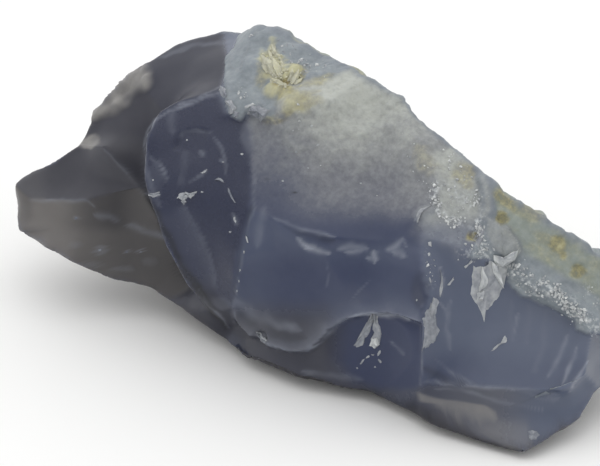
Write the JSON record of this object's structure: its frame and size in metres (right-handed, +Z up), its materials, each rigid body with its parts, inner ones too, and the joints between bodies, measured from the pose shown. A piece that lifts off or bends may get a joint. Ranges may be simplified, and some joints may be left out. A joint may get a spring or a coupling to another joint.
{
  "type": "rough blue lace agate",
  "caption": "Rough hand-sized piece of blue lace agate with glassy breaks, a pale frosted crust and a small yellow quartz pocket.",
  "frame": {"origin": "middle of the bounding box in X and Y, at the surface that the stone rests on", "axes": "+X along the stone's length towards its thick crusted end, +Y to its unseen back, +Z up"},
  "size_m": [0.101, 0.044, 0.0436],
  "materials": {
    "agate": "glassy blue-grey chalcedony with a frosted pale crust"
  },
  "bodies": {
    "root": {"blue_lace_agate": "agate"}
  },
  "joints": []
}
